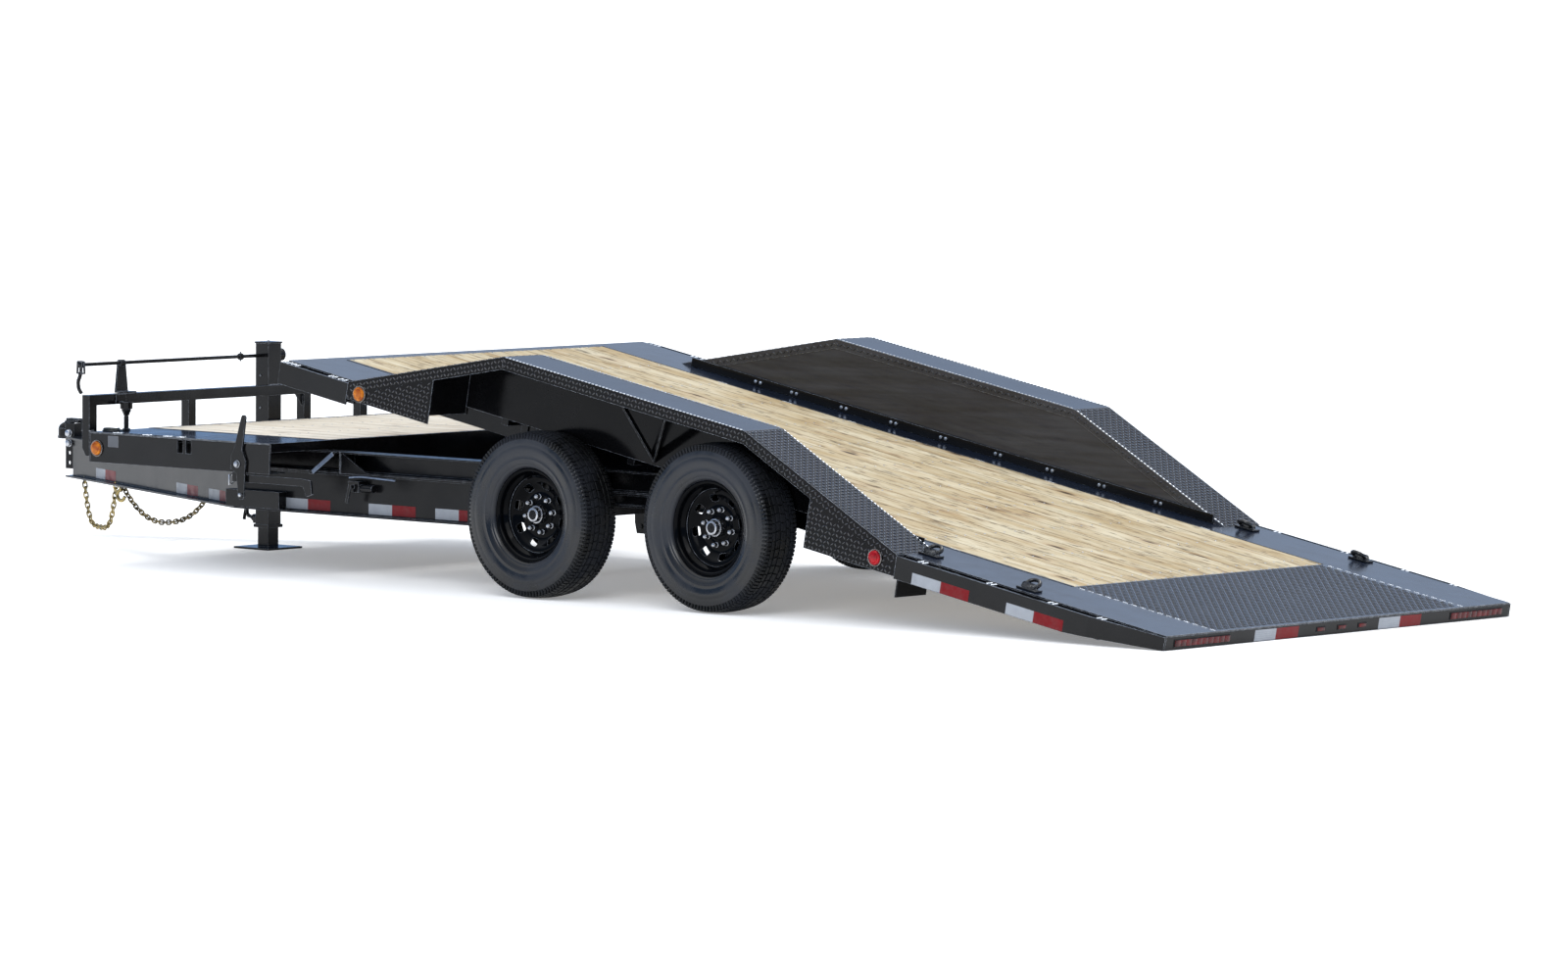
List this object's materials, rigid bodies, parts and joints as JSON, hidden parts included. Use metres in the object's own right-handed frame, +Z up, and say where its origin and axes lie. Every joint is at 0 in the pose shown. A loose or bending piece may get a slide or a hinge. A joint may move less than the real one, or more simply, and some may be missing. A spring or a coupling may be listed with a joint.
{
  "type": "tandem axle tilt deck equipment trailer",
  "caption": "Equipment trailer with a fixed front deck, a tilting wooden deck with drive-over fenders, tandem wheels, a V tongue with ball coupler and a centre jack.",
  "frame": {"origin": "on the ground, on the centreline, below the middle of the overall length", "axes": "+X forward to the coupler, +Y to the trailer's left side, +Z up"},
  "size_m": [8.2244, 2.6256, 1.1157],
  "materials": {
    "black_paint": "gloss black powder coat",
    "deck_plate": "gloss black painted steel plate",
    "deck_wood": "treated pine boards",
    "tyre_rubber": "black tyre",
    "wheel_paint": "gloss black wheel",
    "zinc_chain": "yellow zinc plated steel",
    "amber_lens": "amber lens",
    "red_lens": "red lens",
    "cable_jacket": "black rubber plug and cable",
    "bright_steel": "zinc plated steel"
  },
  "bodies": {
    "frame": {"main_rail_left": "black_paint", "main_rail_right": "black_paint", "frame_crossmembers": "black_paint", "frame_risers": "black_paint", "coupler_channel": "black_paint", "coupler": "black_paint", "pivot_pins": "black_paint", "front_deck_frame": "black_paint", "front_deck_boards": "deck_wood", "front_deck_plates": "deck_plate", "headboard": "black_paint", "jack_housing": "black_paint", "jack_crank": "black_paint", "safety_chain_left": "zinc_chain", "safety_chain_right": "zinc_chain", "axle_front": "black_paint", "axle_rear": "black_paint", "latch_lever": "black_paint", "latch_linkage": "black_paint", "cushion_valve": "black_paint", "front_markers": "amber_lens", "plug_holder": "black_paint", "wiring_plug": "cable_jacket", "plug_loom": "cable_jacket", "breakaway_coil": "cable_jacket", "breakaway_cable": "cable_jacket", "cable_clamp": "cable_jacket"},
    "jack_leg": {"jack_leg": "black_paint"},
    "tilt_bed": {"tilt_rails": "black_paint", "tilt_crossmembers": "black_paint", "tilt_deck_boards": "deck_wood", "deck_plates": "deck_plate", "tail_plate": "deck_plate", "rear_bumper": "black_paint", "fender_braces": "black_paint", "fender_left": "deck_plate", "fender_right": "deck_plate", "rub_rails_left": "black_paint", "rub_rails_right": "black_paint", "tie_down_rings": "bright_steel", "fender_markers": "amber_lens", "tail_lamps": "red_lens"},
    "cylinder_barrel": {"cylinder_barrel": "black_paint"},
    "cylinder_rod": {"cylinder_rod": "bright_steel"},
    "wheel_front_left": {"tyre_front_left": "tyre_rubber", "wheel_front_left": "wheel_paint"},
    "wheel_front_right": {"tyre_front_right": "tyre_rubber", "wheel_front_right": "wheel_paint"},
    "wheel_rear_left": {"tyre_rear_left": "tyre_rubber", "wheel_rear_left": "wheel_paint"},
    "wheel_rear_right": {"tyre_rear_right": "tyre_rubber", "wheel_rear_right": "wheel_paint"}
  },
  "joints": [
    {"name": "bed_tilt", "type": "hinge", "parent": "frame", "child": "tilt_bed", "pos_m": [-0.93777, 0, 0.535], "axis": [0, 1, 0], "range_deg": [0, 10.3]},
    {"name": "jack_slide", "type": "slide", "parent": "frame", "child": "jack_leg", "axis": [0, 0, 1], "range_m": [-0.2, 0.08]},
    {"name": "cylinder_swing", "type": "hinge", "parent": "frame", "child": "cylinder_barrel", "pos_m": [0.07023, 0, 0.25], "axis": [0, 1, 0], "range_deg": [0, 1.88]},
    {"name": "cylinder_stroke", "type": "slide", "parent": "cylinder_barrel", "child": "cylinder_rod", "axis": [-0.0584, 0, 0.9983], "range_m": [-0.17923, 0]},
    {"name": "spin_front_left", "type": "hinge", "parent": "frame", "child": "wheel_front_left", "pos_m": [-0.33677, 1.17, 0.388], "axis": [0, 1, 0], "continuous": true},
    {"name": "spin_front_right", "type": "hinge", "parent": "frame", "child": "wheel_front_right", "pos_m": [-0.33677, -1.17, 0.388], "axis": [0, 1, 0], "continuous": true},
    {"name": "spin_rear_left", "type": "hinge", "parent": "frame", "child": "wheel_rear_left", "pos_m": [-1.44677, 1.17, 0.388], "axis": [0, 1, 0], "continuous": true},
    {"name": "spin_rear_right", "type": "hinge", "parent": "frame", "child": "wheel_rear_right", "pos_m": [-1.44677, -1.17, 0.388], "axis": [0, 1, 0], "continuous": true}
  ],
  "couplings": [
    {"joint": "cylinder_swing", "follows": "bed_tilt", "ratio": 0.18168},
    {"joint": "cylinder_stroke", "follows": "bed_tilt", "m_per_rad": -0.99646}
  ]
}
